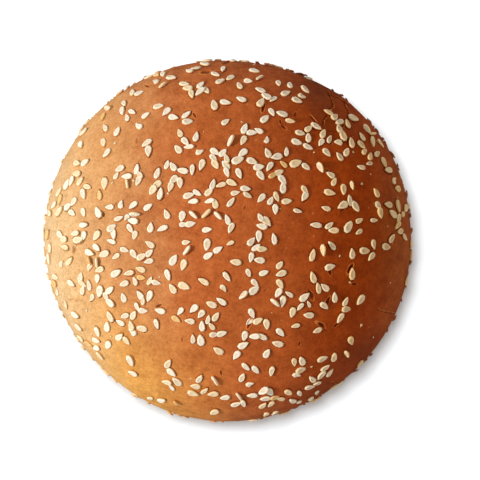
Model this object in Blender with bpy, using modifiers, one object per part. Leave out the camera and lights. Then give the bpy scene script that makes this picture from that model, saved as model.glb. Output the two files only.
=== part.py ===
"""A sesame-topped burger bun, uncut, as one closed solid with its largest seeds fused on.

Metres, +Z up. The origin is the centre of the flat sole, which rests on z = 0, and the dome rises to +Z.
"""

import math
import random

import bmesh
import bpy
from mathutils import Matrix, Vector
from mathutils.bvhtree import BVHTree

# Driving dimensions of the bun
BUN_RADIUS = 0.0510
BUN_HEIGHT = 0.0480
WIDEST_HEIGHT = 0.0170  # the height above the sole at which the bun is widest
SOLE_RADIUS = 0.0390
DOME_SQUARENESS = 2.25  # 2 is an ellipse, and more is a flatter top over steeper sides
HEEL_SQUARENESS = 2.1

# Unevenness of the baked dough: waves round the outline as (turns, height, phase in degrees),
# and broad swells of the dome as (wavelength, compass direction in degrees, height, phase in degrees)
OUTLINE_WAVES = ((2, 0.00041, 18), (3, 0.00031, -90), (5, 0.00022, 158))
DOME_SWELLS = ((0.058, 25, 0.00050, 40), (0.041, 110, 0.00035, 200), (0.029, 160, 0.00022, 75))

# Faces of the bare bun
SEGMENTS = 48
DOME_RINGS = 12
HEEL_RINGS = 5

# One seed: a flat teardrop, a little sunk into the crust
SEED_LENGTH = 0.00318
SEED_WIDTH_SHARE = 0.58
SEED_THICKNESS_SHARE = 0.27
SEED_SIZE_SPREAD = 0.085
SEED_TAPER = 0.36
SEED_SUNK_SHARE = 0.30  # of its thickness
USUAL_TILT = math.radians(4)
EDGEWISE_TILT = math.radians(78)  # a seed that stuck on its edge
STACKED_TILT = math.radians(10)  # a seed that lies partly on its neighbour
STACKED_LIFT_SHARE = 0.14  # of its thickness

# How the seeds were sprinkled from above, on a disc seen in plan
SPRINKLE_DRAW = 11  # the number that starts the random draw
SPRINKLE_COUNT = 476
SPRINKLE_RADIUS = 0.0502
SEED_GAP = 0.00165  # no two seeds fell closer than this, centre to centre
SEED_TOUCH = 0.00205  # two seeds closer than this lie partly on each other
EDGEWISE_SHARE = 0.045
EVEN_SHARE = 0.42  # the chance that a seed stays, away from the spots below

# Seeds that caught on the side, round the widest part
RIM_COUNT = 34
RIM_HEIGHTS = (0.0125, 0.0225)

# Where seeds fell thickly (+) and where they are scarce (-): x, y and reach in millimetres, and strength
SPRINKLE_SPOTS = (
    (-45, 4, 9, 0.55),
    (-36, -12, 6, 0.40),
    (-42, 16, 6, 0.30),
    (-33, 35, 6, 0.20),
    (-14, 17, 6, 0.50),
    (-25, 6, 5, 0.35),
    (-22, -8, 6, 0.35),
    (-27, -22, 7, 0.25),
    (-12, -35, 6, 0.30),
    (-7, -22, 5, 0.30),
    (3, 21, 6, 0.45),
    (9, 43, 6, 0.30),
    (9, -32, 5, 0.50),
    (11, 8, 4, 0.30),
    (13, -45, 6, 0.35),
    (21, -36, 5, 0.25),
    (30, 26, 7, 0.55),
    (31, -18, 5, 0.30),
    (38, -2, 4, 0.30),
    (44, 8, 6, 0.30),
    (-26, 24, 6, -0.45),
    (-5, -15, 5, -0.35),
    (-4, 38, 6, -0.25),
    (19, 5, 9, -0.35),
    (24, -28, 7, -0.35),
    (32, 41, 7, -0.55),
    (43, -22, 12, -0.50),
    (46, -8, 5, -0.45),
    (-31, -38, 5, -0.30),
)

# The solid takes the largest of the seeds, each with few faces
FUSED_SEEDS = 320
SEED_SIDES = 6
SHARP_EDGE = math.radians(40)  # edges bolder than this stay crisp in the shading


def clear_scene():
    for obj in list(bpy.data.objects):
        bpy.data.objects.remove(obj)


def crust_material():
    material = bpy.data.materials.new("crust")
    material.use_nodes = True
    shader = material.node_tree.nodes["Principled BSDF"]
    shader.inputs["Base Color"].default_value = (0.43, 0.15, 0.045, 1)
    shader.inputs["Roughness"].default_value = 0.45
    shader.inputs["Metallic"].default_value = 0.0
    return material


def bun_profile():
    """Radius and height along the bun's side, from the top of the dome down to the middle of the sole."""
    points = []
    for i in range(DOME_RINGS + 1):
        turn = math.radians(90) * (1 - i / DOME_RINGS)
        radius = BUN_RADIUS * max(math.cos(turn), 0.0) ** (2 / DOME_SQUARENESS)
        rise = (BUN_HEIGHT - WIDEST_HEIGHT) * math.sin(turn) ** (2 / DOME_SQUARENESS)
        points.append((radius if i else 0.0, WIDEST_HEIGHT + rise))
    for i in range(1, HEEL_RINGS + 1):
        turn = math.radians(90) * i / HEEL_RINGS
        overhang = (BUN_RADIUS - SOLE_RADIUS) * max(math.cos(turn), 0.0) ** (2 / HEEL_SQUARENESS)
        drop = WIDEST_HEIGHT * math.sin(turn) ** (2 / HEEL_SQUARENESS)
        points.append((SOLE_RADIUS + overhang, WIDEST_HEIGHT - drop if i < HEEL_RINGS else 0.0))
    points.append((0.0, 0.0))
    return points


def turned(name, profile, segments):
    """A solid of revolution about Z: the profile, top to bottom at +X, swept by a Screw modifier."""
    mesh = bpy.data.meshes.new(name)
    points = [(radius, 0, height) for radius, height in profile]
    mesh.from_pydata(points, [(i, i + 1) for i in range(len(points) - 1)], [])
    guide = bpy.data.objects.new(name + "_profile", mesh)
    bpy.context.scene.collection.objects.link(guide)
    screw = guide.modifiers.new("turn", "SCREW")
    screw.steps = screw.render_steps = segments
    screw.use_merge_vertices = True
    screw.merge_threshold = 0.00001
    solid = bpy.data.meshes.new_from_object(guide.evaluated_get(bpy.context.evaluated_depsgraph_get()))
    bpy.data.objects.remove(guide)
    return solid


def uneven(point):
    """A point of the even bun, moved to where the dough rose to. The sole stays flat."""
    bearing = math.atan2(point.y, point.x)
    swell = 0.0
    for turns, height, phase in OUTLINE_WAVES:
        swell += height * math.cos(turns * bearing + math.radians(phase))
    out = math.hypot(point.x, point.y) / BUN_RADIUS
    grown = 1 + swell / BUN_RADIUS * out
    share_up = max(point.z - WIDEST_HEIGHT, 0.0) / (BUN_HEIGHT - WIDEST_HEIGHT)
    lift = 0.0
    for wavelength, compass, height, phase in DOME_SWELLS:
        along = point.x * math.cos(math.radians(compass)) + point.y * math.sin(math.radians(compass))
        lift += height * math.sin(math.tau * along / wavelength + math.radians(phase))
    return Vector((point.x * grown, point.y * grown, point.z + lift * math.sqrt(share_up)))


def bare_bun(name):
    mesh = turned(name, bun_profile(), SEGMENTS)
    for vertex in mesh.vertices:
        vertex.co = uneven(vertex.co)
    obj = bpy.data.objects.new(name, mesh)
    bpy.context.scene.collection.objects.link(obj)
    return obj


def chance_of_seed(x, y):
    """How likely a seed that falls at x, y in metres is to stay there: never if under 0, always if over 1."""
    chance = EVEN_SHARE
    for spot_x, spot_y, reach, strength in SPRINKLE_SPOTS:
        away = math.hypot(x * 1000 - spot_x, y * 1000 - spot_y) / reach
        chance += strength * math.exp(-away * away)
    return chance


def sprinkled_seeds():
    """Every seed of the bun, as a dict of where it fell, how it lies and its length."""
    draw = random.Random(SPRINKLE_DRAW)
    seeds = []
    while len(seeds) < SPRINKLE_COUNT:
        bearing = draw.uniform(0, math.tau)
        reach = SPRINKLE_RADIUS * math.sqrt(draw.random())
        x, y = reach * math.cos(bearing), reach * math.sin(bearing)
        kept = draw.random() < chance_of_seed(x, y)
        nearest = min((math.hypot(x - s["x"], y - s["y"]) for s in seeds), default=1.0)
        if not kept or nearest < SEED_GAP:
            continue
        seeds.append(
            {
                "x": x,
                "y": y,
                "from_side": False,
                "heading": draw.uniform(0, math.tau),
                "length": SEED_LENGTH * (1 + SEED_SIZE_SPREAD * draw.gauss(0, 1)),
                "edgewise": draw.random() < EDGEWISE_SHARE,
                "on_top": nearest < SEED_TOUCH,
                "lean": draw.gauss(0, 1),
            }
        )
    for _ in range(RIM_COUNT):
        seeds.append(
            {
                "bearing": draw.uniform(0, math.tau),
                "height": draw.uniform(*RIM_HEIGHTS),
                "from_side": True,
                "heading": draw.uniform(0, math.tau),
                "length": SEED_LENGTH * (1 + SEED_SIZE_SPREAD * draw.gauss(0, 1)),
                "edgewise": False,
                "on_top": False,
                "lean": draw.gauss(0, 1),
            }
        )
    return seeds


def landing(crust, seed):
    """Where a seed meets the crust and the crust's normal there."""
    if seed["from_side"]:
        outward = Vector((math.cos(seed["bearing"]), math.sin(seed["bearing"]), 0))
        start = outward * 2 * BUN_RADIUS + Vector((0, 0, seed["height"]))
        point, normal, _, _ = crust.ray_cast(start, -outward)
    else:
        start = Vector((seed["x"], seed["y"], 2 * BUN_HEIGHT))
        point, normal, _, _ = crust.ray_cast(start, Vector((0, 0, -1)))
    return point, normal


def lying(point, normal, seed):
    """The matrix that lays a seed, long axis +X and flat side up, on the crust."""
    length = seed["length"]
    thickness = length * SEED_THICKNESS_SHARE
    turn = normal.to_track_quat("Z", "Y").to_matrix().to_4x4() @ Matrix.Rotation(seed["heading"], 4, "Z")
    rise = thickness * (0.5 - SEED_SUNK_SHARE)
    if seed["edgewise"]:
        turn = turn @ Matrix.Rotation(EDGEWISE_TILT, 4, "X")
        rise = length * SEED_WIDTH_SHARE * 0.5 - thickness * SEED_SUNK_SHARE
    elif seed["on_top"]:
        turn = turn @ Matrix.Rotation(STACKED_TILT, 4, "Y")
        rise += thickness * STACKED_LIFT_SHARE
    else:
        turn = turn @ Matrix.Rotation(USUAL_TILT * seed["lean"], 4, "X")
    size = Matrix.Diagonal((length / 2, length * SEED_WIDTH_SHARE / 2, thickness / 2, 1))
    return Matrix.Translation(point + normal * rise) @ turn @ size


def coarse_seed(name):
    """A seed of a few faces, 2 long, 2 wide and 2 thick, that narrows towards +X."""
    shape = bmesh.new()
    bmesh.ops.create_uvsphere(shape, u_segments=SEED_SIDES, v_segments=2, radius=1.0)
    for vertex in shape.verts:
        vertex.co.y *= 1 - SEED_TAPER * vertex.co.x
    mesh = bpy.data.meshes.new(name)
    shape.to_mesh(mesh)
    shape.free()
    return mesh


def fuse(bun, seeds):
    """Joins the largest seeds to the bun by one Boolean union, and removes their objects."""
    evaluated = bun.evaluated_get(bpy.context.evaluated_depsgraph_get())
    surface = bmesh.new()
    surface.from_mesh(evaluated.data)
    crust = BVHTree.FromBMesh(surface)
    surface.free()
    heap = bpy.data.collections.new("seeds_to_fuse")
    bpy.context.scene.collection.children.link(heap)
    shape = coarse_seed("seed")
    largest = sorted(seeds, key=lambda seed: -seed["length"])[:FUSED_SEEDS]
    for number, seed in enumerate(largest):
        obj = bpy.data.objects.new(f"seed_{number:03d}", shape.copy())
        heap.objects.link(obj)
        point, normal = landing(crust, seed)
        obj.data.transform(lying(point, normal, seed))
    union = bun.modifiers.new("seeds", "BOOLEAN")
    union.operand_type = "COLLECTION"
    union.collection = heap
    union.operation = "UNION"
    union.solver = "MANIFOLD"
    fused = bpy.data.meshes.new_from_object(bun.evaluated_get(bpy.context.evaluated_depsgraph_get()))
    bun.modifiers.clear()
    bun.data = fused
    for obj in list(heap.objects):
        bpy.data.objects.remove(obj)
    bpy.data.collections.remove(heap)


def main():
    clear_scene()
    bun = bare_bun("roll")
    fuse(bun, sprinkled_seeds())
    group = bpy.data.collections.new("bread_roll")
    bpy.context.scene.collection.children.link(group)
    bpy.context.scene.collection.objects.unlink(bun)
    group.objects.link(bun)
    bun.data.materials.clear()
    bun.data.materials.append(crust_material())
    bun.data.shade_smooth()
    bun.data.set_sharp_from_angle(angle=SHARP_EDGE)


main()
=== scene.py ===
# %% [markdown]
# # A sesame burger bun
#
# An uncut bun, seen from straight above: a satin brown dome strewn with some five hundred sesame seeds.
# The bun's own solid is already made elsewhere, with the largest seeds fused on in few faces. This file
# dresses that solid. It lays a fine crust over the same form, strews true sesame seeds by the same rule, and
# gives each its finish. Every length is in metres, +Z is up, and the origin is the middle of the flat sole.

# %% Load the frame
import math
import random

import bmesh
import bpy
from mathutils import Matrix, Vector, noise


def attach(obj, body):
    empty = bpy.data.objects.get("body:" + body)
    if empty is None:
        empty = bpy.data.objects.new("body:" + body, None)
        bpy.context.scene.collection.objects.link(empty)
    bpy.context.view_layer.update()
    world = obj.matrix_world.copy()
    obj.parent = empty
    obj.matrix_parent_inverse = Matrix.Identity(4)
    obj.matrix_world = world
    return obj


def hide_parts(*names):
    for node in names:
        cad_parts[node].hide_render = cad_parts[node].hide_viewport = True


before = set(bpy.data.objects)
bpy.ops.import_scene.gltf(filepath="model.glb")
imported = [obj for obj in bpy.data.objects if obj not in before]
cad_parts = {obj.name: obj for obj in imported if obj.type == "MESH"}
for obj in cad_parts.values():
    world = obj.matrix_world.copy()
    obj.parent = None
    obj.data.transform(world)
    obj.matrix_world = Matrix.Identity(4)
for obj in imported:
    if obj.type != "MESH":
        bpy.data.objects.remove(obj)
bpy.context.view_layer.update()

MM = 0.001

# %% [markdown]
# ## The form of the dough
#
# A bun rises on a flat baking sheet, so it has a low dome, a side that bulges out near the bottom, and a flat
# sole. The solid was made from a profile of two superellipses turned about Z, then pushed a little out of
# true. The crust has to keep that form, so the same two formulas are written down again here: one for the
# profile, one for the unevenness. Reading the points back from the solid would copy its facets as well.

# %% The form as two formulas
BUN_RADIUS = 0.0510
BUN_HEIGHT = 0.0480
WIDEST_HEIGHT = 0.0170
SOLE_RADIUS = 0.0390
DOME_SQUARENESS = 2.25
HEEL_SQUARENESS = 2.1

# Waves round the outline as (turns, height, phase), swells of the dome as (length, compass, height, phase)
OUTLINE_WAVES = ((2, 0.00041, 18), (3, 0.00031, -90), (5, 0.00022, 158))
DOME_SWELLS = ((0.058, 25, 0.00050, 40), (0.041, 110, 0.00035, 200), (0.029, 160, 0.00022, 75))

# Where the dome and the heel end on the ball that the crust is shaped from, as angles from its top
DOME_END = math.radians(122)
HEEL_END = math.radians(152)


def profile_point(polar):
    """Radius and height of the bun's side at an angle from the top of the ball."""
    if polar < DOME_END:
        turn = math.radians(90) * (1 - polar / DOME_END)
        radius = BUN_RADIUS * math.cos(turn) ** (2 / DOME_SQUARENESS)
        return radius, WIDEST_HEIGHT + (BUN_HEIGHT - WIDEST_HEIGHT) * math.sin(turn) ** (2 / DOME_SQUARENESS)
    if polar < HEEL_END:
        turn = math.radians(90) * (polar - DOME_END) / (HEEL_END - DOME_END)
        radius = SOLE_RADIUS + (BUN_RADIUS - SOLE_RADIUS) * math.cos(turn) ** (2 / HEEL_SQUARENESS)
        return radius, WIDEST_HEIGHT * (1 - math.sin(turn) ** (2 / HEEL_SQUARENESS))
    return SOLE_RADIUS * (math.pi - polar) / (math.pi - HEEL_END), 0.0


def uneven(point):
    """A point of the even bun, moved to where the dough rose to. The sole stays flat."""
    bearing = math.atan2(point.y, point.x)
    swell = 0.0
    for turns, height, phase in OUTLINE_WAVES:
        swell += height * math.cos(turns * bearing + math.radians(phase))
    out = math.hypot(point.x, point.y) / BUN_RADIUS
    grown = 1 + swell / BUN_RADIUS * out
    share_up = max(point.z - WIDEST_HEIGHT, 0.0) / (BUN_HEIGHT - WIDEST_HEIGHT)
    lift = 0.0
    for wavelength, compass, height, phase in DOME_SWELLS:
        along = point.x * math.cos(math.radians(compass)) + point.y * math.sin(math.radians(compass))
        lift += height * math.sin(math.tau * along / wavelength + math.radians(phase))
    return Vector((point.x * grown, point.y * grown, point.z + lift * math.sqrt(share_up)))


# %% [markdown]
# ## A ball of even squares
#
# The crust needs fine, even faces all over, because the seeds leave prints in it and the light rakes across
# its grain. A UV sphere crowds its faces at the poles, and the crown is what the camera sees most. A cube
# that is cut into squares and blown up to a ball has no poles. Taking the tangent of each coordinate first
# spreads the squares evenly.

# %% Blow up a cube
SQUARES_A_SIDE = 76


def shape_crust():
    """The crust's form as a bmesh of even squares."""
    shape = bmesh.new()
    bmesh.ops.create_cube(shape, size=2)
    bmesh.ops.subdivide_edges(shape, edges=shape.edges[:], cuts=SQUARES_A_SIDE - 1, use_grid_fill=True)
    for vertex in shape.verts:
        ball = Vector([math.tan(c * math.radians(45)) for c in vertex.co]).normalized()
        radius, height = profile_point(math.acos(max(-1.0, min(1.0, ball.z))))
        bearing = math.atan2(ball.y, ball.x)
        vertex.co = uneven(Vector((radius * math.cos(bearing), radius * math.sin(bearing), height)))
    return shape


crust_shape = shape_crust()
print("the crust starts with", len(crust_shape.faces), "squares")

# %% [markdown]
# ## Prints, creases and grain
#
# Baked dough keeps marks. Where a seed fell off, it leaves a small hollow with a raised lip. Near the rim the
# skin has wrinkled into a few sharp creases, and all over it is faintly dimpled. These show in raking light
# and at the edge, so they are real relief: each point of the crust is pushed along its normal by a sum of
# hollows, lips and noise. Faces near a mark are halved first, so that a mark of 2 mm has enough points. Each
# mark also gives a second number, which the finish reads later: its hollow or groove is painted darker, as
# painted shade, and its lip orange, partly torn crust and partly painted highlight. A few patches are painted
# darker as well.

# %% Marks in the crust
# Prints of lost seeds: x and y in millimetres, heading in degrees, and length and depth in millimetres
PRINTS = (
    (5.8, -22.8, 70, 2.2, 0.42), (-18.7, -17.9, 20, 1.6, 0.34), (-1.9, -36.4, 110, 1.4, 0.28),
    (27.4, -8.5, 120, 2.0, 0.42), (33.1, -7.9, 60, 2.4, 0.46), (34.3, -12.1, 10, 1.3, 0.30),
    (27.0, -16.7, 65, 2.1, 0.42), (25.4, -23.2, 150, 2.2, 0.40), (29.4, -23.2, 35, 1.5, 0.32),
    (22.5, -15.0, 115, 2.6, 0.24), (-6.3, 46.2, 5, 2.4, 0.32), (-0.8, 49.2, 20, 2.2, 0.30),
    (9.5, 35.9, 80, 2.2, 0.36), (-9.1, 33.9, 120, 1.6, 0.28), (-22.4, 42.5, 150, 1.8, 0.28),
    (-34.1, 7.1, 115, 2.0, 0.30), (-42.2, -2.7, 85, 2.2, 0.28), (-40.6, -0.7, 75, 1.4, 0.16),
    (-30.2, 9.6, 100, 1.2, 0.14), (14.2, 32.1, 100, 1.2, 0.30), (18.3, 34.2, 60, 1.4, 0.22),
    (-43.2, -16.6, 10, 2.0, 0.20), (15.2, 30.6, 145, 1.8, 0.24), (13.6, 10.7, 30, 1.5, 0.26),
    (19.4, -28.4, 75, 1.4, 0.22), (26.9, 18.4, 100, 1.5, 0.22), (4.6, 8.7, 60, 1.3, 0.18),
    (-30.6, -22.1, 140, 1.6, 0.22), (10.2, -13.6, 25, 1.2, 0.16), (-12.4, -27.2, 95, 1.4, 0.18),
    (31.0, 8.0, 40, 1.6, 0.16), (-24.8, 27.0, 75, 1.5, 0.18),
)
PRINT_WIDTH_SHARE = 0.40
PRINT_RAGGED = 0.25
PRINT_REACH = 1.5  # of its length
PRINT_LIP = 0.34  # of the hollow's depth
PRINT_LIP_AT = 1.35  # of the hollow's half size
PRINT_LIP_WIDTH = 0.30
# How much darker a hollow is painted, as painted shade, and how much paler its lip, partly torn crust and
# partly painted highlight, for a depth of 1 mm
PRINT_DARK = 1.8
PRINT_PALE = 1.1

# Creases as points in millimetres, and how deep they are
CREASES = (
    (((27.6, 41.0), (28.0, 39.7), (28.9, 37.3), (27.6, 35.2), (26.2, 32.6), (25.9, 31.4)), 0.32),
    (((32.0, 38.4), (32.2, 37.2), (33.7, 34.2), (33.2, 32.8), (32.0, 31.8), (30.3, 29.7)), 0.36),
    (((22.3, 33.9), (23.2, 32.9), (24.6, 30.9), (25.8, 29.4)), 0.32),
    (((30.3, 29.7), (28.6, 29.4), (27.2, 29.9)), 0.16),
    (((27.8, 40.0), (30.0, 39.7), (32.0, 38.4), (33.8, 37.4)), 0.20),
    (((41.6, -19.6), (42.4, -19.8), (44.4, -20.2), (46.3, -20.7)), 0.22),
    (((28.4, -39.4), (29.0, -40.0), (30.4, -40.6)), 0.24),
    (((-43.0, -16.9), (-41.0, -16.6), (-39.8, -16.8)), 0.12),
)
CREASE_HALF_WIDTH = 0.15
CREASE_LIP = 0.50  # of the groove's depth
# Where the lip lies, how wide it is, and how far the step reaches, in half widths
CREASE_LIP_AT = 1.7
CREASE_LIP_WIDTH = 0.6
CREASE_STEP_REACH = 7
CREASE_STEP = 0.35  # of the groove's depth
# The groove is painted darker, as painted shade, and the lip paler, as a painted highlight on the raised edge
CREASE_DARK = 2.4
CREASE_PALE = 3.0
CREASE_REACH = 14  # millimetres from its first point within which a crease counts
# What draws a crease out of its line, as (length, size) in millimetres
CREASE_RAGGED = ((1.5, 0.75), (0.6, 0.30))

# Patches painted darker than their surroundings: x, y and reach in millimetres, and strength. The one at
# 37.5, -32 mm darkens the rim on the side away from the lamp, as painted shade
DARKER_PATCHES = (
    (25.0, 42.5, 8.0, 0.46), (27.5, 32.5, 4.5, 0.30), (35.0, 27.0, 5.0, 0.18),
    (17.5, -10.5, 6.0, 0.16), (33.0, -9.5, 5.0, 0.16), (37.5, -32.0, 8.0, 0.42),
    (27.0, -42.0, 6.0, 0.34),
)

# Dimples as (size, height) in millimetres
DIMPLES = ((9.0, 0.16), (3.6, 0.045), (1.5, 0.016))
# Puckers of the side: how long round it, how wide up it and how high, in millimetres
PUCKER_LENGTH = 5.0
PUCKER_WIDTH = 1.1
PUCKER_HEIGHT = 0.10


def away_from_line(x, y, points):
    """How far x, y lies from a line through points: over 0 on the left of one who follows the line."""
    nearest = 1e9
    for (ax, ay), (bx, by) in zip(points, points[1:]):
        along = ((x - ax) * (bx - ax) + (y - ay) * (by - ay)) / ((bx - ax) ** 2 + (by - ay) ** 2)
        along = max(0.0, min(1.0, along))
        away = math.hypot(x - ax - along * (bx - ax), y - ay - along * (by - ay))
        if away < abs(nearest):
            on_left = (bx - ax) * (y - ay) > (by - ay) * (x - ax)
            nearest = away if on_left else -away
    return nearest


def near_marks(point, reach):
    """Whether a point of the dome lies within reach of a print or a crease, all in millimetres."""
    if point.z < WIDEST_HEIGHT:
        return False
    x, y = point.x / MM, point.y / MM
    for print_x, print_y, _, length, _ in PRINTS:
        if math.hypot(x - print_x, y - print_y) < length / 2 + reach:
            return True
    return any(abs(away_from_line(x, y, points)) < reach for points, _ in CREASES)


def print_marks(x, y, mark):
    """What one print adds at x, y: its height in millimetres and how much darker it is painted, under 0 for
    paler.
    """
    print_x, print_y, heading, length, depth = mark
    turn = math.radians(heading)
    along = ((x - print_x) * math.cos(turn) + (y - print_y) * math.sin(turn)) / (length / 2)
    across = ((y - print_y) * math.cos(turn) - (x - print_x) * math.sin(turn)) / (length / 2)
    out = math.hypot(along, across / PRINT_WIDTH_SHARE)
    out *= 1 + PRINT_RAGGED * noise.noise(Vector((x * 1.1, y * 1.1, print_x)))
    hollow = math.exp(-(out ** 6))
    lip = math.exp(-(((out - PRINT_LIP_AT) / PRINT_LIP_WIDTH) ** 2))
    return depth * (PRINT_LIP * lip - hollow), depth * (PRINT_DARK * hollow - PRINT_PALE * lip)


def crease_marks(x, y, points, depth):
    """What one crease adds at x, y, as for a print: a ragged groove with a lip and a step on one side."""
    jitter = sum(size * noise.noise(Vector((x / length, y / length, 4.0))) for length, size in CREASE_RAGGED)
    side = away_from_line(x + jitter, y - jitter, points) / CREASE_HALF_WIDTH
    groove = math.exp(-(side ** 2))
    lip = math.exp(-(((side - CREASE_LIP_AT) / CREASE_LIP_WIDTH) ** 2))
    step = math.exp(-((side / CREASE_STEP_REACH) ** 2)) if side > 0 else 0.0
    height = CREASE_LIP * lip + CREASE_STEP * step - groove
    return depth * height, depth * (CREASE_DARK * groove - CREASE_PALE * lip)


def marks(point):
    """The height that all marks add at a point of the dome, in millimetres, and how much darker they are
    painted.
    """
    x, y = point.x / MM, point.y / MM
    close = [mark for mark in PRINTS if math.hypot(x - mark[0], y - mark[1]) < mark[3] * PRINT_REACH]
    found = [print_marks(x, y, mark) for mark in close]
    found += [
        crease_marks(x, y, points, depth)
        for points, depth in CREASES
        if math.hypot(x - points[0][0], y - points[0][1]) < CREASE_REACH
    ]
    found += [
        (0.0, strength * math.exp(-(((x - patch_x) ** 2 + (y - patch_y) ** 2) / reach ** 2)))
        for patch_x, patch_y, reach, strength in DARKER_PATCHES
    ]
    return sum(height for height, _ in found), sum(dark for _, dark in found)


def grain(point):
    """The height of the dimples at a point, and of the puckers of the side, in millimetres."""
    spot = point / MM
    height = sum(size * noise.noise(spot / length + Vector((length, 0, 0))) for length, size in DIMPLES)
    if point.z < WIDEST_HEIGHT:
        round_the_side = math.atan2(point.y, point.x) * SOLE_RADIUS / MM
        pucker = Vector((round_the_side / PUCKER_LENGTH, spot.z / PUCKER_WIDTH, 2.0))
        height += PUCKER_HEIGHT * noise.noise(pucker)
    return height


# %% Refine the faces round the marks and raise the relief
HALVING_REACHES = (1.7, 0.9, 0.35)  # millimetres round a mark, for each time that the faces are halved
SOLE_EDGE = 0.004  # below this height the relief fades out


def in_scene(name, data):
    """A new object of the scene, with a mesh, light or camera for its data."""
    obj = bpy.data.objects.new(name, data)
    bpy.context.scene.collection.objects.link(obj)
    return obj


for reach in HALVING_REACHES:
    close = [f for f in crust_shape.faces if near_marks(f.calc_center_median(), reach)]
    edges = {edge for face in close for edge in face.edges}
    bmesh.ops.subdivide_edges(crust_shape, edges=list(edges), cuts=1, use_grid_fill=True)
    print("halved", len(close), "faces near the marks")

crust_shape.normal_update()
form_normals = [vertex.normal.copy() for vertex in crust_shape.verts]
darkness = []
for vertex, normal in zip(crust_shape.verts, form_normals):
    height, dark = marks(vertex.co) if vertex.co.z > WIDEST_HEIGHT else (0.0, 0.0)
    off_the_sole = min(1.0, vertex.co.z / SOLE_EDGE)
    vertex.co += normal * (height + grain(vertex.co)) * off_the_sole * MM
    vertex.co.z = max(vertex.co.z, 0.0)
    darkness.append(dark)

crust_mesh = bpy.data.meshes.new("crust")
crust_shape.to_mesh(crust_mesh)
crust_shape.free()
crust_mesh.shade_smooth()
lie = crust_mesh.attributes.new("form_normal", "FLOAT_VECTOR", "POINT")
lie.data.foreach_set("vector", [c for normal in form_normals for c in normal])
crust_mesh.attributes.new("darkness", "FLOAT", "POINT").data.foreach_set("value", darkness)
crust = in_scene("crust", crust_mesh)
print("the crust has", len(crust_mesh.polygons), "faces")

# %% [markdown]
# ## Where the seeds fell
#
# The baker wets the risen dough and strews the seeds by hand, so they lie at random, thicker in some spots
# than in others. The rule draws a place on a disc, keeps it with the chance that its neighbourhood gives, and
# throws it back if another seed is already there. The draw is seeded, so the same bun comes out each time,
# and it is the solid's own draw, so that every fused seed gets its true one.

# %% Strew the seeds
SEED_LENGTH = 0.00318
SEED_WIDTH_SHARE = 0.58
SEED_THICKNESS_SHARE = 0.27
SEED_SIZE_SPREAD = 0.085
SPRINKLE_DRAW = 11
SPRINKLE_COUNT = 476
SPRINKLE_RADIUS = 0.0502
SEED_GAP = 0.00165
SEED_TOUCH = 0.00205
EDGEWISE_SHARE = 0.045
EVEN_SHARE = 0.42
RIM_COUNT = 34
RIM_HEIGHTS = (0.0125, 0.0225)

# Where seeds fell thickly (+) and where they are scarce (-): x, y and reach in millimetres, and strength
SPRINKLE_SPOTS = (
    (-45, 4, 9, 0.55), (-36, -12, 6, 0.40), (-42, 16, 6, 0.30), (-33, 35, 6, 0.20),
    (-14, 17, 6, 0.50), (-25, 6, 5, 0.35), (-22, -8, 6, 0.35), (-27, -22, 7, 0.25),
    (-12, -35, 6, 0.30), (-7, -22, 5, 0.30), (3, 21, 6, 0.45), (9, 43, 6, 0.30),
    (9, -32, 5, 0.50), (11, 8, 4, 0.30), (13, -45, 6, 0.35), (21, -36, 5, 0.25),
    (30, 26, 7, 0.55), (31, -18, 5, 0.30), (38, -2, 4, 0.30), (44, 8, 6, 0.30),
    (-26, 24, 6, -0.45), (-5, -15, 5, -0.35), (-4, 38, 6, -0.25), (19, 5, 9, -0.35),
    (24, -28, 7, -0.35), (32, 41, 7, -0.55), (43, -22, 12, -0.50), (46, -8, 5, -0.45),
    (-31, -38, 5, -0.30),
)


def chance_of_seed(x, y):
    """How likely a seed that falls at x, y in metres is to stay there: never if under 0, always if over 1."""
    chance = EVEN_SHARE
    for spot_x, spot_y, reach, strength in SPRINKLE_SPOTS:
        away = math.hypot(x / MM - spot_x, y / MM - spot_y) / reach
        chance += strength * math.exp(-away * away)
    return chance


def fallen_seed(draw, start, aim, may_stand, nearest):
    """A seed that falls along aim and may stand on its edge, with the nearest other one that far away."""
    return {
        "start": start,
        "aim": aim,
        "heading": draw.uniform(0, math.tau),
        "length": SEED_LENGTH * (1 + SEED_SIZE_SPREAD * draw.gauss(0, 1)),
        "edgewise": may_stand and draw.random() < EDGEWISE_SHARE,
        "stacked": nearest < SEED_TOUCH,
        "lean": draw.gauss(0, 1),
    }


def sprinkled_seeds():
    """Every seed of the bun: the start and aim of its fall, its heading, length, lean, and how it lies."""
    draw = random.Random(SPRINKLE_DRAW)
    seeds = []
    while len(seeds) < SPRINKLE_COUNT:
        bearing = draw.uniform(0, math.tau)
        reach = SPRINKLE_RADIUS * math.sqrt(draw.random())
        x, y = reach * math.cos(bearing), reach * math.sin(bearing)
        kept = draw.random() < chance_of_seed(x, y)
        nearest = min((math.hypot(x - s["start"][0], y - s["start"][1]) for s in seeds), default=1.0)
        if not kept or nearest < SEED_GAP:
            continue
        seeds.append(fallen_seed(draw, (x, y, 2 * BUN_HEIGHT), (0.0, 0.0, -1.0), True, nearest))
    for _ in range(RIM_COUNT):
        bearing = draw.uniform(0, math.tau)
        outward = Vector((math.cos(bearing), math.sin(bearing), 0))
        start = outward * 2 * BUN_RADIUS + Vector((0, 0, draw.uniform(*RIM_HEIGHTS)))
        seeds.append(fallen_seed(draw, start, -outward, False, 1.0))
    return seeds


seeds = sprinkled_seeds()
on_edge = sum(seed["edgewise"] for seed in seeds)
print(len(seeds), "seeds,", on_edge, "on edge and", sum(seed["stacked"] for seed in seeds), "stacked")

# %% [markdown]
# ## Which seeds are toasted or broken
#
# Most seeds are whole and ivory. A few caught more heat and turned orange, and a few broke when they were
# hulled. Each kind becomes a piece of its own with its own finish. A second seeded draw picks the kinds and
# gives every seed a tint, so the first draw, which the solid shares, stays as it is. In how they lie, only
# the few seeds on their edge differ from the solid's: they lean over further, and some are turned end for
# end, so that their faces catch the light.

# %% Sort the seeds into kinds
KIND_DRAW = 5
TOASTED_SHARE = 0.035
BROKEN_SHARE = 0.025

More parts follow.
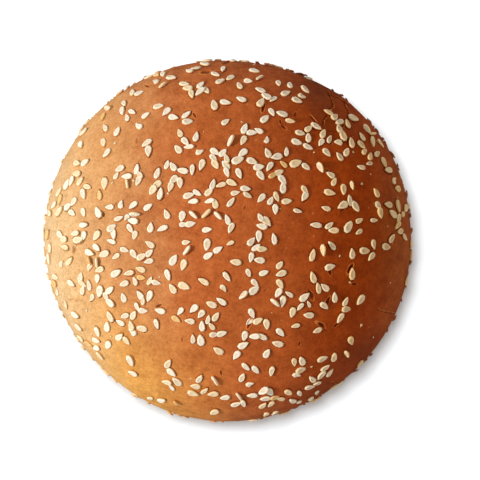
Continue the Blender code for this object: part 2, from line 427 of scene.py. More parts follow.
kind_draw = random.Random(KIND_DRAW)
kinds = {"whole": [], "toasted": [], "broken": []}
for seed in seeds:
    # A heading counts from uphill, so with the bearing it says which way a seed on its edge leans
    bearing = math.atan2(seed["start"][1], seed["start"][0])
    if seed["edgewise"] and math.cos(seed["heading"] + bearing) > 0:
        seed["heading"] += math.pi
    seed["tint"] = kind_draw.random()
    chance = kind_draw.random()
    if chance < TOASTED_SHARE:
        kinds["toasted"].append(seed)
    elif chance < TOASTED_SHARE + BROKEN_SHARE and not seed["stacked"] and not seed["edgewise"]:
        kinds["broken"].append(seed)
    else:
        kinds["whole"].append(seed)
print({kind: len(found) for kind, found in kinds.items()})

# %% [markdown]
# ## One sesame seed
#
# A hulled sesame seed is a flat teardrop, about 3 mm long, 1.8 mm wide and 0.9 mm thick. Its faces are
# slightly dished inside a rounded rim, which catches the light as a pale line. The seed is turned here from a
# few rings of points. Hundreds of copies are coming, so one seed has only some seventy faces. An attribute
# that runs from 0 in the middle over 1 on the rim to 2 underneath tells the finish where the pale line goes,
# inside which the middle is painted darker, partly as painted shade in the dish, and where the golden edge
# below it goes, a painted glow of warm bounced light. A ring of painted shade lies round each seed that lies
# flat, as a thin lens a little larger than the seed, so a lens is turned the same way, with 3 for its
# attribute.

# %% Shape a seed
SEED_SIDES = 12
# Rings from the top's middle to the bottom's: how far out, how high and how far over the rim
SEED_RINGS = (
    (0.44, 0.68, 0.10),
    (0.68, 0.86, 0.60),
    (0.86, 0.70, 1.00),
    (1.00, 0.00, 1.70),
    (0.78, -0.72, 2.00),
)
SHADE_RING_RIM = 3.00
SHADE_RING_RINGS = ((0.70, 0.85, SHADE_RING_RIM), (1.00, 0.00, SHADE_RING_RIM), (0.70, -0.85, SHADE_RING_RIM))
SEED_MIDDLE_AT = -0.05
SEED_MIDDLE_TOP = 0.64
SEED_MIDDLE_BOTTOM = -0.86
TIP_CROWDING = 0.45  # draws the points of a ring together at the tip, which rounds it


def seed_shape(name, taper, point, width, bend, rings=SEED_RINGS, middle=0.0):
    """A seed 2 long, about 2 wide and 2 thick, its point towards +X. Middle is its attribute on top."""
    shape = bmesh.new()
    rim = shape.verts.layers.float.new("rim")
    loops = []
    for out, height, share in rings:
        loop = []
        for i in range(SEED_SIDES):
            turn = math.tau * (i + 0.5) / SEED_SIDES
            turn -= TIP_CROWDING * math.sin(turn)
            x = math.cos(turn)
            y = math.sin(turn) * (1 - taper * x) * (1 - point * max(x, 0.0) ** 2) * width
            vertex = shape.verts.new((x * out, (y + bend * (1 - x * x)) * out, height))
            vertex[rim] = share
            loop.append(vertex)
        loops.append(loop)
    top = shape.verts.new((SEED_MIDDLE_AT, 0, SEED_MIDDLE_TOP))
    bottom = shape.verts.new((SEED_MIDDLE_AT, 0, SEED_MIDDLE_BOTTOM))
    top[rim] = middle
    bottom[rim] = rings[-1][2]
    for i in range(SEED_SIDES):
        j = (i + 1) % SEED_SIDES
        shape.faces.new((top, loops[0][i], loops[0][j]))
        for upper, lower in zip(loops, loops[1:]):
            shape.faces.new((upper[i], lower[i], lower[j], upper[j]))
        shape.faces.new((loops[-1][i], bottom, loops[-1][j]))
    return seed_object(name, shape)


def seed_object(name, shape):
    """An object for a finished seed shape, its normals turned outwards."""
    bmesh.ops.recalc_face_normals(shape, faces=shape.faces)
    mesh = bpy.data.meshes.new(name)
    shape.to_mesh(mesh)
    shape.free()
    mesh.shade_smooth()
    return bpy.data.objects.new(name, mesh)


def broken_shape(name, whole, cut_at, slant):
    """A piece of a seed: the whole one cut across at a slant, and the cut closed."""
    shape = bmesh.new()
    shape.from_mesh(whole.data)
    cut = bmesh.ops.bisect_plane(
        shape,
        geom=shape.verts[:] + shape.edges[:] + shape.faces[:],
        plane_co=(cut_at, 0, 0),
        plane_no=Vector((1, slant, 0)).normalized(),
        clear_outer=True,
    )
    bmesh.ops.holes_fill(shape, edges=[e for e in cut["geom_cut"] if isinstance(e, bmesh.types.BMEdge)])
    bmesh.ops.triangulate(shape, faces=[f for f in shape.faces if len(f.verts) > 4])
    return seed_object(name, shape)


def shelf(name, objects):
    """A collection that Geometry Nodes picks shapes from. It isn't linked to the scene, so it isn't shown."""
    collection = bpy.data.collections.new(name)
    for obj in objects:
        collection.objects.link(obj)
    return collection


whole_shapes = [
    seed_shape("seed_a_plump", 0.25, 0.12, 0.98, 0.00),
    seed_shape("seed_b_usual", 0.32, 0.22, 0.93, 0.06),
    seed_shape("seed_c_slim", 0.29, 0.16, 0.80, -0.08),
    seed_shape("seed_d_pointed", 0.40, 0.36, 0.94, -0.04),
]
whole_shelf = shelf("whole_seeds", whole_shapes)
broken_shelf = shelf(
    "broken_seeds",
    [
        broken_shape("piece_a_blunt_end", whole_shapes[0], 0.10, 0.5),
        broken_shape("piece_b_half", whole_shapes[1], 0.30, -0.8),
    ],
)
# A lens of painted shade, laid under each flat seed
shade_ring_shelf = shelf("pools", [seed_shape("pool", 0.20, 0.10, 1.00, 0.00, SHADE_RING_RINGS, SHADE_RING_RIM)])
print("a seed has", len(whole_shapes[0].data.polygons), "faces")

# %% [markdown]
# ## Bits of hull and flakes of crust
#
# Between the seeds lie a few crumbs of hull, about a millimetre long. Round the edge the dough's skin has
# lifted in small flakes, which roughen the outline. Both are thin bits: a ragged ring of corners round a
# raised middle. They are laid as the seeds are, hull bits from above and flakes from the side. Each seed that
# lies flat on the crust also gets a ring of painted shade, a thin dark lens under it.

# %% Shape and strew the bits
BIT_DRAW = 8
BIT_CORNERS = 7
BIT_RIM = 1.3  # a bit takes the finish of a seed's rim
HULL_BITS = 40
HULL_BIT_LENGTH = 0.0009
FLAKE_LENGTH = 0.0021
FLAKE_HEIGHTS = (0.0125, 0.0215)
# Flakes by sector of the edge: from and to as bearings in degrees, and how many
FLAKE_SECTORS = ((-30, 90, 60), (90, 330, 80), (120, 255, 80))
SHADE_RING_LENGTH_SHARE = 1.16  # of the seed's length

bit_draw = random.Random(BIT_DRAW)


def bit_shape(name):
    """A thin bit with ragged corners, 2 long, 2 wide and 2 thick."""
    shape = bmesh.new()
    rim = shape.verts.layers.float.new("rim")
    ring = []
    for i in range(BIT_CORNERS):
        turn = math.tau * (i + bit_draw.uniform(-0.3, 0.3)) / BIT_CORNERS
        out, height = bit_draw.uniform(0.5, 1.0), bit_draw.uniform(-0.6, 0.6)
        ring.append(shape.verts.new((math.cos(turn) * out, math.sin(turn) * out, height)))
    top = shape.verts.new((bit_draw.uniform(-0.4, 0.4), bit_draw.uniform(-0.4, 0.4), 1))
    bottom = shape.verts.new((bit_draw.uniform(-0.4, 0.4), bit_draw.uniform(-0.4, 0.4), -1))
    for i in range(BIT_CORNERS):
        j = (i + 1) % BIT_CORNERS
        shape.faces.new((top, ring[i], ring[j]))
        shape.faces.new((bottom, ring[j], ring[i]))
    for vertex in shape.verts:
        vertex[rim] = BIT_RIM
    return seed_object(name, shape)


def bit(start, aim, length):
    """A bit that falls from start along aim, with its own heading, length and lean."""
    return {
        "start": start,
        "aim": aim,
        "heading": bit_draw.uniform(0, math.tau),
        "length": length * bit_draw.uniform(0.5, 1.6),
        "edgewise": False,
        "stacked": True,
        "lean": bit_draw.gauss(0, 1),
        "tint": bit_draw.random(),
    }


kinds["hull"] = []
for _ in range(HULL_BITS):
    bearing = bit_draw.uniform(0, math.tau)
    reach = SPRINKLE_RADIUS * math.sqrt(bit_draw.random())
    start = (reach * math.cos(bearing), reach * math.sin(bearing), 2 * BUN_HEIGHT)
    kinds["hull"].append(bit(start, (0.0, 0.0, -1.0), HULL_BIT_LENGTH))
kinds["flakes"] = []
for first, last, count in FLAKE_SECTORS:
    for _ in range(count):
        bearing = math.radians(bit_draw.uniform(first, last))
        outward = Vector((math.cos(bearing), math.sin(bearing), 0))
        start = outward * 2 * BUN_RADIUS + Vector((0, 0, bit_draw.uniform(*FLAKE_HEIGHTS)))
        kinds["flakes"].append(bit(start, -outward, FLAKE_LENGTH))
# Each seed that lies flat, not on its edge or on another, gets a ring of painted shade under it
kinds["pools"] = [
    {**seed, "lean": 0.0, "length": seed["length"] * SHADE_RING_LENGTH_SHARE}
    for seed in kinds["whole"] + kinds["toasted"]
    if not seed["edgewise"] and not seed["stacked"]
]
bit_shelf = shelf("bits", [bit_shape("bit_" + letter) for letter in "abcd"])
print(HULL_BITS, "bits of hull,", len(kinds["flakes"]), "flakes and", len(kinds["pools"]), "rings of painted shade")

# %% [markdown]
# ## Node trees as plain sums
#
# Geometry Nodes and materials are both node trees. Wired by hand they take a screen of clicks each, and in a
# script a page of links. Two small classes make them read like Python: a Socket is a node's output that can
# be added, multiplied or raised to a power, and a Tree adds any node from its type, settings and inputs.

# %% Two small classes
class Socket:
    """The output of a node. Sums with it add Math nodes to its tree."""

    def __init__(self, tree, output):
        self.tree = tree
        self.output = output

    def __getitem__(self, name):
        """Another output of the same node."""
        return Socket(self.tree, self.output.node.outputs[name])

    def sum_of(self, operation, first, second):
        """A Math node on two values or sockets."""
        return self.tree.add("ShaderNodeMath", {"operation": operation}, {0: first, 1: second})

    def __add__(self, other):
        return self.sum_of("ADD", self, other)

    def __sub__(self, other):
        return self.sum_of("SUBTRACT", self, other)

    def __rsub__(self, other):
        return self.sum_of("SUBTRACT", other, self)

    def __mul__(self, other):
        return self.sum_of("MULTIPLY", self, other)

    def __truediv__(self, other):
        return self.sum_of("DIVIDE", self, other)

    def __pow__(self, other):
        return self.sum_of("POWER", self, other)

    __radd__ = __add__
    __rmul__ = __mul__


class Tree:
    """A node tree of a material or of Geometry Nodes."""

    def __init__(self, group):
        self.group = group

    def add(self, kind, settings=None, sockets=None, output=0):
        """Adds one node: its settings first, then the values or links of its sockets. Returns an output."""
        node = self.group.nodes.new(kind)
        for name, value in (settings or {}).items():
            setattr(node, name, value)
        for key, value in (sockets or {}).items():
            if isinstance(value, Socket):
                self.group.links.new(value.output, node.inputs[key])
            else:
                node.inputs[key].default_value = value
        return Socket(self, node.outputs[output]) if len(node.outputs) else node


# %% [markdown]
# ## Laying the seeds with Geometry Nodes
#
# Each seed starts as one point with attributes: where it falls from, which way, its heading, length and lean.
# The tree casts a ray from the start along the aim and lands on the crust. It stands the seed's flat side
# on the dough's broad slope, turns it to its heading, tilts it, sinks it a little, and puts a seed shape
# there. The slope is read from the form's normals and not from the grain, so no seed is tipped by a dimple.
# Realize Instances makes the copies real, because what reads the model later drops instances.

# %% Build the tree that lays seeds
SEED_SUNK_SHARE = 0.30
USUAL_TILT = math.radians(4)
EDGEWISE_TILT = math.radians(62)
STACKED_TILT = math.radians(10)
STACKED_LIFT_SHARE = 0.14
WIDTH_SPREAD = 0.07
SHAPE_SEED = 3

# The tree's inputs: what it works on, and the values for whole seeds
LAYING_OBJECTS = {
    "Crust": "NodeSocketObject",
    "Shapes": "NodeSocketCollection",
    "Finish": "NodeSocketMaterial",
}
LAYING_VALUES = {
    "Width share": SEED_WIDTH_SHARE,
    "Thickness share": SEED_THICKNESS_SHARE,
    "Width spread": WIDTH_SPREAD,
    "Sunk share": SEED_SUNK_SHARE,
    "Usual tilt": USUAL_TILT,
    "Edgewise tilt": EDGEWISE_TILT,
    "Stacked tilt": STACKED_TILT,
    "Stacked lift": STACKED_LIFT_SHARE,
    "Shape seed": SHAPE_SEED,
}


def laying_tree():
    """The Geometry Nodes tree that lays seeds on the crust, one to each point."""
    group = bpy.data.node_groups.new("lay_seeds", "GeometryNodeTree")
    group.interface.new_socket("Geometry", in_out="INPUT", socket_type="NodeSocketGeometry")
    for name, kind in LAYING_OBJECTS.items():
        group.interface.new_socket(name, in_out="INPUT", socket_type=kind)
    for name, value in LAYING_VALUES.items():
        kind = "NodeSocketInt" if isinstance(value, int) else "NodeSocketFloat"
        group.interface.new_socket(name, in_out="INPUT", socket_type=kind)
    group.interface.new_socket("Geometry", in_out="OUTPUT", socket_type="NodeSocketGeometry")
    tree = Tree(group)
    given = tree.add("NodeGroupInput")

    def noted(name, kind="FLOAT"):
        settings = {"data_type": kind}
        return tree.add("GeometryNodeInputNamedAttribute", settings, {"Name": name}, "Attribute")

    def turned(rotation, axis, angle):
        turn = tree.add("FunctionNodeAxisAngleToRotation", {}, {"Axis": axis, "Angle": angle})
        sockets = {"Rotation": rotation, "Rotate By": turn}
        return tree.add("FunctionNodeRotateRotation", {"rotation_space": "LOCAL"}, sockets)

    # Land on the crust
    target = tree.add(
        "GeometryNodeObjectInfo", {"transform_space": "RELATIVE"}, {"Object": given["Crust"]}, "Geometry"
    )
    landing = tree.add(
        "GeometryNodeRaycast",
        {"data_type": "FLOAT_VECTOR"},
        {
            "Target Geometry": target,
            "Attribute": noted("form_normal", "FLOAT_VECTOR"),
            "Source Position": noted("start", "FLOAT_VECTOR"),
            "Ray Direction": noted("aim", "FLOAT_VECTOR"),
            "Ray Length": 4 * BUN_RADIUS,
        },
    )
    slope = tree.add("ShaderNodeVectorMath", {"operation": "NORMALIZE"}, {0: landing["Attribute"]})

    # Lie flat on the slope, the long axis counted from uphill, then turn and tilt
    flat = tree.add("FunctionNodeAlignRotationToVector", {"axis": "Z"}, {"Vector": slope})
    flat = tree.add(
        "FunctionNodeAlignRotationToVector",
        {"axis": "Y", "pivot_axis": "Z"},
        {"Rotation": flat, "Vector": (0, 0, 1)},
    )
    edgewise, stacked = noted("edgewise"), noted("stacked")
    usual = (1 - edgewise) * (1 - stacked)
    tilt_on_long_axis = edgewise * given["Edgewise tilt"] + usual * given["Usual tilt"] * noted("lean")
    rotation = turned(flat, (0, 0, 1), noted("heading"))
    rotation = turned(rotation, (1, 0, 0), tilt_on_long_axis)
    rotation = turned(rotation, (0, 1, 0), (1 - edgewise) * stacked * given["Stacked tilt"])

    # How far the seed's middle stands off the crust
    length = noted("length")
    thickness = length * given["Thickness share"]
    standing_width = length * given["Width share"] * 0.5
    rise = (
        (1 - edgewise) * thickness * (0.5 - given["Sunk share"])
        + edgewise * (standing_width - thickness * given["Sunk share"])
        + (1 - edgewise) * stacked * thickness * given["Stacked lift"]
    )
    offset = tree.add("ShaderNodeVectorMath", {"operation": "SCALE"}, {0: slope, "Scale": rise})
    points = tree.add("GeometryNodeMeshToPoints", {"mode": "VERTICES"}, {"Mesh": given["Geometry"]})
    points = tree.add(
        "GeometryNodeSetPosition",
        {},
        {"Geometry": points, "Position": landing["Hit Position"], "Offset": offset},
    )

    # Put a shape there, a little narrower or wider than the last
    draw = given["Shape seed"]
    random_value = "FunctionNodeRandomValue"
    spread = tree.add(random_value, {"data_type": "FLOAT"}, {2: -1.0, 3: 1.0, "Seed": draw}, 1)
    which = tree.add(random_value, {"data_type": "INT"}, {4: 0, 5: 999, "Seed": draw}, 2)
    across = length * given["Width share"] * (spread * given["Width spread"] + 1)
    size = tree.add("ShaderNodeCombineXYZ", {}, {0: length * 0.5, 1: across * 0.5, 2: thickness * 0.5})
    shapes = tree.add(
        "GeometryNodeCollectionInfo", {}, {"Collection": given["Shapes"], "Separate Children": True}
    )
    strewn = tree.add(
        "GeometryNodeInstanceOnPoints",
        {},
        {
            "Points": points,
            "Selection": landing["Is Hit"],
            "Instance": shapes,
            "Pick Instance": True,
            "Instance Index": which,
            "Rotation": rotation,
            "Scale": size,
        },
    )
    real = tree.add("GeometryNodeRealizeInstances", {}, {"Geometry": strewn})
    done = tree.add("GeometryNodeSetMaterial", {}, {"Geometry": real, "Material": given["Finish"]})
    tree.add("NodeGroupOutput", {}, {"Geometry": done})
    return group


lay_seeds = laying_tree()
print("the tree that lays seeds has", len(lay_seeds.nodes), "nodes")

# %% [markdown]
# ## Helpers for finishes
#
# A finish mixes colours by masks and clouds of noise. The helpers here add the nodes for that. The last
# one feeds the result to the shader, with a bump for what is finer than the mesh.

# %% Mix, tone, ease and cloud
def new_material(name):
    """A material and the Tree of its nodes, with the output of its Principled shader linked."""
    material = bpy.data.materials.new(name)
    material.use_nodes = True
    return material, Tree(material.node_tree)


def mixed(tree, share, first, second):
    """A colour between two, by a share from 0 to 1."""
    return tree.add("ShaderNodeMix", {"data_type": "RGBA"}, {0: share, 6: first, 7: second}, 2)


def toned(tree, colour, red, green, blue):
    """A colour whose channels are each multiplied by a value."""
    tones = tree.add("ShaderNodeCombineXYZ", {}, {0: red, 1: green, 2: blue})
    return tree.add("ShaderNodeVectorMath", {"operation": "MULTIPLY"}, {0: colour, 1: tones})


def ease(tree, value, low, high, start=0.0, end=1.0):
    """A value that eases from start to end as another goes from low to high."""
    sockets = {"Value": value, "From Min": low, "From Max": high, "To Min": start, "To Max": end}
    return tree.add("ShaderNodeMapRange", {"interpolation_type": "SMOOTHSTEP"}, sockets)


def clouds(tree, place, size, detail=2.0):
    """Noise from 0 to 1 with patches about a size across, in metres."""
    return tree.add("ShaderNodeTexNoise", {}, {"Vector": place, "Scale": 1 / size, "Detail": detail})


def scattered(tree, place, size):
    """How far the nearest of points about a size apart is, as a share of that size."""
    return tree.add("ShaderNodeTexVoronoi", {}, {"Vector": place, "Scale": 1 / size}, "Distance")


def carried(tree, name):
    """A number that the mesh carries as an attribute."""
    return tree.add("ShaderNodeAttribute", {"attribute_name": name}, output="Fac")


def feed_shader(tree, colour, roughness, relief, strength, specular):
    """Feeds colour, roughness and a bump from a relief in metres to the shader, and returns it."""
    bump = tree.add("ShaderNodeBump", {}, {"Strength": strength, "Distance": 1.0, "Height": relief})
    shader = tree.group.nodes["Principled BSDF"]
    for name, value in (("Base Color", colour), ("Roughness", roughness), ("Normal", bump)):
        tree.group.links.new(value.output, shader.inputs[name])
    shader.inputs["Specular IOR Level"].default_value = specular
    return shader


# %% [markdown]
# ## The crust's colour
#
# The skin is brown on the crown, darker towards the right, golden towards the left, where its rim is pale,
# and pale low on the sides, where the sheet's heat didn't reach. The darker right and the paler, golden left
# and lower left are partly the crust's browning and partly painted light: painted shade on the side away from
# the lamp, and painted light and sheen on the side that faces it. The colours are laid one over another by
# where a point lies, so they stay put from every side. A slow noise makes the edges of most of them uneven.

# %% Where the oven browned it, and where light and shade are painted
CROWN_BROWN = (0.460, 0.116, 0.028, 1)
DEEP_BROWN = (0.320, 0.043, 0.002, 1)
RIM_BROWN = (0.335, 0.088, 0.014, 1)
GOLDEN = (0.595, 0.298, 0.110, 1)
LOW_ORANGE = (0.650, 0.255, 0.055, 1)
LOW_GOLD = (0.680, 0.326, 0.068, 1)
PEACH = (0.605, 0.400, 0.205, 1)
PALE_SIDE = (0.720, 0.430, 0.190, 1)
SOLE_BROWN = (0.420, 0.180, 0.060, 1)


def browned_and_painted_light(tree, x, y, z, patches):
    """The crust's colour at a place in millimetres, partly browning and partly painted light and shade, and
    how far to the left and right that place counts.
    """
    to_left = ease(tree, patches * 16 - x, 4.0, 44.0)
    to_right = ease(tree, patches * 14 + x + y * 0.05, -9.0, 36.0)
    low_band = ease(tree, patches * 6 - y * 0.85 - x * 0.15, 12.0, 40.0) * ease(tree, x, 6.0, -10.0)
    out = (x * x + y * y) ** 0.5
    low_rim = ease(tree, patches * 6 - y * 0.68 - x * 0.75 + out * 0.5, 42.0, 78.0)
    left_rim = ease(tree, patches * 4 - x * 0.95 - y * 0.15, 29.0, 50.0)
    right_rim = ease(tree, patches * 6 + x, 37.0, 49.0)
    low_side = ease(tree, patches * 3 - z, -17.0, -5.0)
    colour = CROWN_BROWN
    # The darker right is partly browning and partly painted shade; the golden left, lower left and pale left
    # rim are partly browning and partly painted light and sheen
    for share, layer in (
        (to_right * 0.92, DEEP_BROWN),
        (to_left, GOLDEN),
        (low_band * 0.44, LOW_ORANGE),
        (low_rim * ease(tree, x, -24.0, -4.0, 0.85, 0.20), LOW_GOLD),
        (left_rim, PEACH),
        (right_rim * 0.65, RIM_BROWN),
        (low_side * 0.85, PALE_SIDE),
        (ease(tree, z, 1.2, 0.2), SOLE_BROWN),
    ):
        colour = mixed(tree, share, colour, layer)
    return colour, to_left, to_right


# %% [markdown]
# ## The crust's finish
#
# Over the colour go a soft mottling, a fine grain, pale specks and a patch of dark pores. Round each seed
# that lies flat, a ring of painted shade darkens the crust, more on the right and less on the left, and the
# lifted flakes are painted paler, most on the left, as painted light. The skin is satin: a middling roughness
# that changes with the mottling, and a weak reflection.

# %% Mottle and mark the crust
PORE_BROWN = (0.130, 0.028, 0.006, 1)
SPECK_PALE = (0.740, 0.440, 0.220, 1)
LIP_ORANGE = (0.700, 0.240, 0.050, 1)
# Flakes are painted towards this paler colour: painted light
FLAKE_PAINTED_LIGHT = (0.940, 0.670, 0.380, 1)
# Size in metres and detail of the slow patches, the blotches, the mottle, the freckles and the fine grain
CRUST_NOISES = ((0.012, 2.0), (0.0060, 1.0), (0.0022, 3.0), (0.0009, 2.0), (0.00040, 2.0))
# Size of the speckled areas, and gaps between specks and between pores, in metres
SPECKLED_SIZE = 0.006
SPECK_GAP = 0.0030
PORE_GAP = 0.0011
PORE_PATCH = (44.5, -6.0)  # millimetres
CRUST_ROUGHNESS = 0.45
CRUST_SPECULAR = 0.03


def finish_crust():
    """The finish of the crust, its flakes and the pools of wash."""
    material, tree = new_material("crust_finish")
    place = tree.add("ShaderNodeTexCoord", output="Object")
    split = tree.add("ShaderNodeSeparateXYZ", {}, {0: place})
    x, y, z = split["X"] / MM, split["Y"] / MM, split["Z"] / MM
    noises = [clouds(tree, place, size, detail) - 0.5 for size, detail in CRUST_NOISES]
    patches, blotches, mottle, freckles, fine = noises
    colour, to_left, to_right = browned_and_painted_light(tree, x, y, z, patches)

    # Mottling, in which what is darker is redder too
    shade = (blotches * 0.50 + mottle * 0.60) * (1 - to_left * 0.5) + freckles * 0.50 + fine * 0.50 + 1.0
    colour = toned(tree, colour, shade, shade ** 1.3, shade ** 1.6)

    # Specks and pores
    speckled = ease(tree, clouds(tree, place, SPECKLED_SIZE), 0.42, 0.56)
    specks = ease(tree, scattered(tree, place, SPECK_GAP), 0.11, 0.04) * speckled
    colour = mixed(tree, specks * (to_left * 0.25 + 0.30), colour, SPECK_PALE)
    to_pores = ((x - PORE_PATCH[0]) ** 2 + (y - PORE_PATCH[1]) ** 2) ** 0.5 + patches * 4
    pores = ease(tree, scattered(tree, place, PORE_GAP), 0.22, 0.12) * ease(tree, to_pores, 4.5, 2.0)
    colour = mixed(tree, pores * 0.8, colour, PORE_BROWN)

    # Marks: hollows and grooves painted dark, as painted shade, and lips painted orange, partly torn crust
    # and partly painted highlight
    darkness = carried(tree, "darkness")
    colour = mixed(tree, ease(tree, darkness, 0.0, 0.8) * 0.88, colour, PORE_BROWN)
    torn = ease(tree, mottle, -0.20, 0.15)
    colour = mixed(tree, ease(tree, darkness, 0.0, -0.4) * torn * 0.8, colour, LIP_ORANGE)

    # Flakes and the rings of painted shade carry the attribute of the seeds' shapes, which the crust itself
    # lacks
    rim = carried(tree, "rim")
    shade_ringed = ease(tree, rim, 2.0, 2.9)
    lifted = ease(tree, rim, 0.2, 1.2) * (1 - shade_ringed)
    # Flakes are painted paler, most on the left: painted light, as they catch less of the lamp than the crust
    # beside them
    colour = mixed(tree, lifted * (to_left * 0.6 + 0.20), colour, FLAKE_PAINTED_LIGHT)
    # Round each flat seed the crust is painted darker, more on the right and less on the left: painted shade
    ring_shade = shade_ringed * (1 - to_left * 0.40 + to_right * 0.25)
    colour = toned(tree, colour, 1 - ring_shade * 0.36, 1 - ring_shade * 0.52, 1 - ring_shade * 0.70)

    roughness = mottle * 0.16 + fine * 0.10 + CRUST_ROUGHNESS
    relief = mottle * 0.00009 + freckles * 0.00007 + fine * 0.00008 - pores * 0.00008
    feed_shader(tree, colour, roughness, relief, 0.8, CRUST_SPECULAR)
    return material


crust_finish = finish_crust()
crust_mesh.materials.append(crust_finish)
print("the crust's finish has", len(crust_finish.node_tree.nodes), "nodes")

# %% [markdown]
# ## The seeds' finish
#
# A hulled seed is ivory. Its dished middle is painted a shade browner, partly its streaky tint and partly
# painted shade in the dish, and below its rim it is painted golden, a painted glow of warm light bounced from
# the crust; some seeds also have a golden tint of their own. Light sinks a little way in, so its thin edge
# glows. Every seed has its own tint from the draw, stored as an attribute that the tree above carries from
# its point to its mesh. All are painted a shade browner towards the right, as painted shade on the side away
# from the lamp, and the toasted ones are golden all over.

# %% Tint the seeds
IVORY = (0.905, 0.815, 0.665, 1)
SEED_MIDDLE = (0.630, 0.465, 0.285, 1)
SEED_GOLD = (0.835, 0.600, 0.290, 1)
TOAST_PALE = (0.820, 0.560, 0.250, 1)
TOAST_MIDDLE = (0.680, 0.370, 0.120, 1)
TOAST_GOLD = (0.760, 0.440, 0.150, 1)
STREAK_SIZE = 0.0007
SEED_ROUGHNESS = 0.38
SEED_SPECULAR = 0.20
LIGHT_SINKS = 0.0005  # metres, and less for green and blue
SINKING_SHARES = (1.0, 0.6, 0.3)


def finish_seeds(name, rim_colour, middle_colour, gold_colour):
    """The finish of one kind of seed, from three colours."""
    material, tree = new_material(name)
    place = tree.add("ShaderNodeTexCoord", output="Object")
    tint, rim = carried(tree, "tint"), carried(tree, "rim")
    streaks = clouds(tree, place, STREAK_SIZE, 3.0)
    # Seeds are painted darker towards the right: painted shade on the side away from the lamp
    painted_shade_right = ease(tree, tree.add("ShaderNodeSeparateXYZ", {}, {0: place})["X"] / MM, 5.0, 50.0)
    # The middle is painted darker than the rim: partly streaky tint, partly painted shade in the dish
    middle = ease(tree, rim, 0.9, 0.1) * (streaks * 0.8 + 0.30) * ease(tree, tint, 0.0, 0.6, 0.35, 1.0)
    colour = mixed(tree, middle * (painted_shade_right * 0.3 + 1.0), rim_colour, middle_colour)
    golden = ease(tree, tint, 0.45, 1.0) * (streaks * 0.6 + 0.20)
    # Below the rim the seed is painted golden: a painted glow of warm light bounced from the crust
    golden = golden + ease(tree, rim, 0.85, 1.50) * 0.80 - ease(tree, rim, 1.60, 2.0) * 0.50
    colour = mixed(tree, golden, colour, gold_colour)
    colour = toned(tree, colour, 1 - painted_shade_right * 0.04, 1 - painted_shade_right * 0.16, 1 - painted_shade_right * 0.40)
    roughness = streaks * 0.15 + SEED_ROUGHNESS
    shader = feed_shader(tree, colour, roughness, streaks * 0.00005, 0.5, SEED_SPECULAR)
    shader.inputs["Subsurface Weight"].default_value = 0.20
    shader.inputs["Subsurface Radius"].default_value = SINKING_SHARES
    shader.inputs["Subsurface Scale"].default_value = LIGHT_SINKS
    return material


seed_finishes = {
    "whole": finish_seeds("sesame_ivory", IVORY, SEED_MIDDLE, SEED_GOLD),
    "toasted": finish_seeds("sesame_toasted", TOAST_PALE, TOAST_MIDDLE, TOAST_GOLD),
    "broken": finish_seeds("sesame_broken", IVORY, SEED_MIDDLE, SEED_GOLD),
}

# %% [markdown]
# ## From points to seeds
#
# For each kind, the seeds become the points of a bare mesh, the tree is put on it as a modifier, and its
# inputs are filled in by their identifiers, because names aren't what a modifier stores. The result is then
# copied out as a plain mesh, and the points and the modifier go.

# %% Lay each kind on the crust
def laid_seeds(name, found, shapes, finish, changes=None):
    """One plain mesh of all seeds of a kind, laid on the crust. Changes are other values for the inputs."""
    points = bpy.data.meshes.new(name + "_points")
    points.from_pydata([seed["start"] for seed in found], [], [])
    for key in ("heading", "length", "edgewise", "stacked", "lean", "tint"):
        noted = points.attributes.new(key, "FLOAT", "POINT")
        noted.data.foreach_set("value", [float(seed[key]) for seed in found])
    for key in ("start", "aim"):
        noted = points.attributes.new(key, "FLOAT_VECTOR", "POINT")
        noted.data.foreach_set("vector", [c for seed in found for c in seed[key]])
    obj = in_scene(name, points)
    modifier = obj.modifiers.new("lay", "NODES")
    modifier.node_group = lay_seeds
    values = {"Crust": crust, "Shapes": shapes, "Finish": finish, **LAYING_VALUES, **(changes or {})}
    for item in lay_seeds.interface.items_tree:
        if item.in_out == "INPUT" and item.name in values:
            modifier[item.identifier] = values[item.name]
    graph = bpy.context.evaluated_depsgraph_get()
    laid = obj.evaluated_get(graph)
    mesh = bpy.data.meshes.new_from_object(laid, preserve_all_data_layers=True, depsgraph=graph)
    obj.modifiers.clear()
    obj.data = mesh
    bpy.data.meshes.remove(points)
    print(name, "has", len(mesh.polygons), "faces")
    return obj


seed_pieces = [
    laid_seeds("seeds_whole", kinds["whole"], whole_shelf, seed_finishes["whole"]),
    laid_seeds("seeds_toasted", kinds["toasted"], whole_shelf, seed_finishes["toasted"]),
    laid_seeds("seeds_broken", kinds["broken"], broken_shelf, seed_finishes["broken"]),
]
bit_form = {"Width share": 0.7, "Thickness share": 0.16, "Width spread": 0.3}
hull = laid_seeds("hull_bits", kinds["hull"], bit_shelf, seed_finishes["broken"], bit_form)
flake_form = {**bit_form, "Thickness share": 0.28, "Stacked tilt": math.radians(12)}
flakes = laid_seeds("crust_flakes", kinds["flakes"], bit_shelf, crust_finish, flake_form)
# The rings of painted shade take the crust's finish, which paints them darker
shade_ring_form = {"Width share": SEED_WIDTH_SHARE * 1.12, "Thickness share": 0.07, "Sunk share": 0.72}
pools = laid_seeds("wash_pools", kinds["pools"], shade_ring_shelf, crust_finish, shade_ring_form)

# %% [markdown]
# ## Floor, light and camera
#
# The bun lies on a white sweep in a soft studio. The room is bright on the left and dim on the right. A soft
# lamp stands on the left, so the dome is modelled from side to side, and a weak warm one fills the right. A
# low lamp would throw a long shadow over the sweep, which a studio avoids with flags. Here light linking does
# that: key and fill light the bun alone, and the sweep has its own lamp, almost overhead, which gives the
# close soft shadow. The camera looks straight down through a long lens, so the dome is seen nearly without
# perspective.

# %% Set the stage
FLOOR_HALF = 1.5
FLOOR_DROP = 0.0002
FLOOR_WHITE = (0.85, 0.90, 0.94, 1)
FLOOR_ROUGHNESS = 0.9

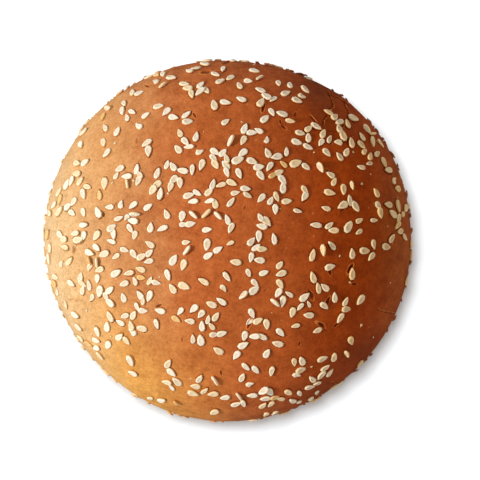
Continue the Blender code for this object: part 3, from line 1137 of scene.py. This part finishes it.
floor_mesh = bpy.data.meshes.new("floor")
corners = [(x * FLOOR_HALF, y * FLOOR_HALF, -FLOOR_DROP) for x, y in ((-1, -1), (1, -1), (1, 1), (-1, 1))]
floor_mesh.from_pydata(corners, [], [(0, 1, 2, 3)])
floor = in_scene("floor", floor_mesh)
floor_material, floor_tree = new_material("floor_white")
floor_shader = floor_tree.group.nodes["Principled BSDF"]
floor_shader.inputs["Base Color"].default_value = FLOOR_WHITE
floor_shader.inputs["Roughness"].default_value = FLOOR_ROUGHNESS
floor_mesh.materials.append(floor_material)
floor.visible_glossy = False

# %% Hang the lamps
ROOM_LEFT = (0.82, 0.83, 0.84, 1)
ROOM_RIGHT = (0.21, 0.21, 0.21, 1)
LAMPS_FACE = Vector((0, 0, 0.02))


def soft_lamp(name, place, size, power, colour, lit):
    """A square area lamp that faces the middle of the bun and lights only the objects given."""
    light = bpy.data.lights.new(name, "AREA")
    light.size = size
    light.energy = power
    light.color = colour
    lamp = in_scene(name, light)
    lamp.location = place
    lamp.rotation_euler = (LAMPS_FACE - lamp.location).to_track_quat("-Z", "Y").to_euler()
    lamp.light_linking.receiver_collection = shelf(name + "_lights", lit)


bun = [crust, flakes, pools, hull, *seed_pieces]
# Name, place and size in metres, power in watts, colour, and what it lights
soft_lamp("key_left", (-0.77, -0.04, 0.66), 0.16, 8.2, (1.0, 0.98, 0.95), bun)
soft_lamp("fill_right", (0.80, -0.05, 0.45), 0.60, 1.0, (1.0, 0.52, 0.16), bun)
soft_lamp("sweep_lamp", (-0.085, 0.102, 1.00), 0.20, 8.5, (1.0, 1.0, 1.0), [floor])

world = bpy.data.worlds.new("studio")
world.use_nodes = True
room = Tree(world.node_tree)
direction = room.add("ShaderNodeTexCoord", output="Generated")
across = room.add("ShaderNodeSeparateXYZ", {}, {0: direction})["X"]
glow = mixed(room, across * 0.5 + 0.5, ROOM_LEFT, ROOM_RIGHT)
room.group.links.new(glow.output, world.node_tree.nodes["Background"].inputs["Color"])
bpy.context.scene.world = world
world.cycles_visibility.glossy = False
bpy.context.scene.view_settings.view_transform = "Standard"
bpy.context.scene.view_settings.look = "None"

# %% Stand the camera
PICTURE_WIDTH = 0.1349  # how much the picture takes in across, at the bun's widest height
LENS = 0.200
SENSOR = 0.036
MIDDLE_OF_VIEW = (0.0032, -0.0001)

camera_data = bpy.data.cameras.new("camera")
camera_data.lens = LENS / MM
camera_data.sensor_width = SENSOR / MM
camera = in_scene("camera", camera_data)
camera.location = (*MIDDLE_OF_VIEW, WIDEST_HEIGHT + PICTURE_WIDTH * LENS / SENSOR)
bpy.context.scene.camera = camera
print("the camera stands", round(camera.location.z, 3), "m above the floor")

# %% [markdown]
# ## Tie the pieces to the solid
#
# All pieces stand for the bun's one solid, so each rides on its body, and the solid's own mesh is hidden.
# Seeds keep their sesame finishes and the crust its own.

# %% Tie the pieces to the frame
for piece in bun:
    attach(piece, "root")
    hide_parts("roll")
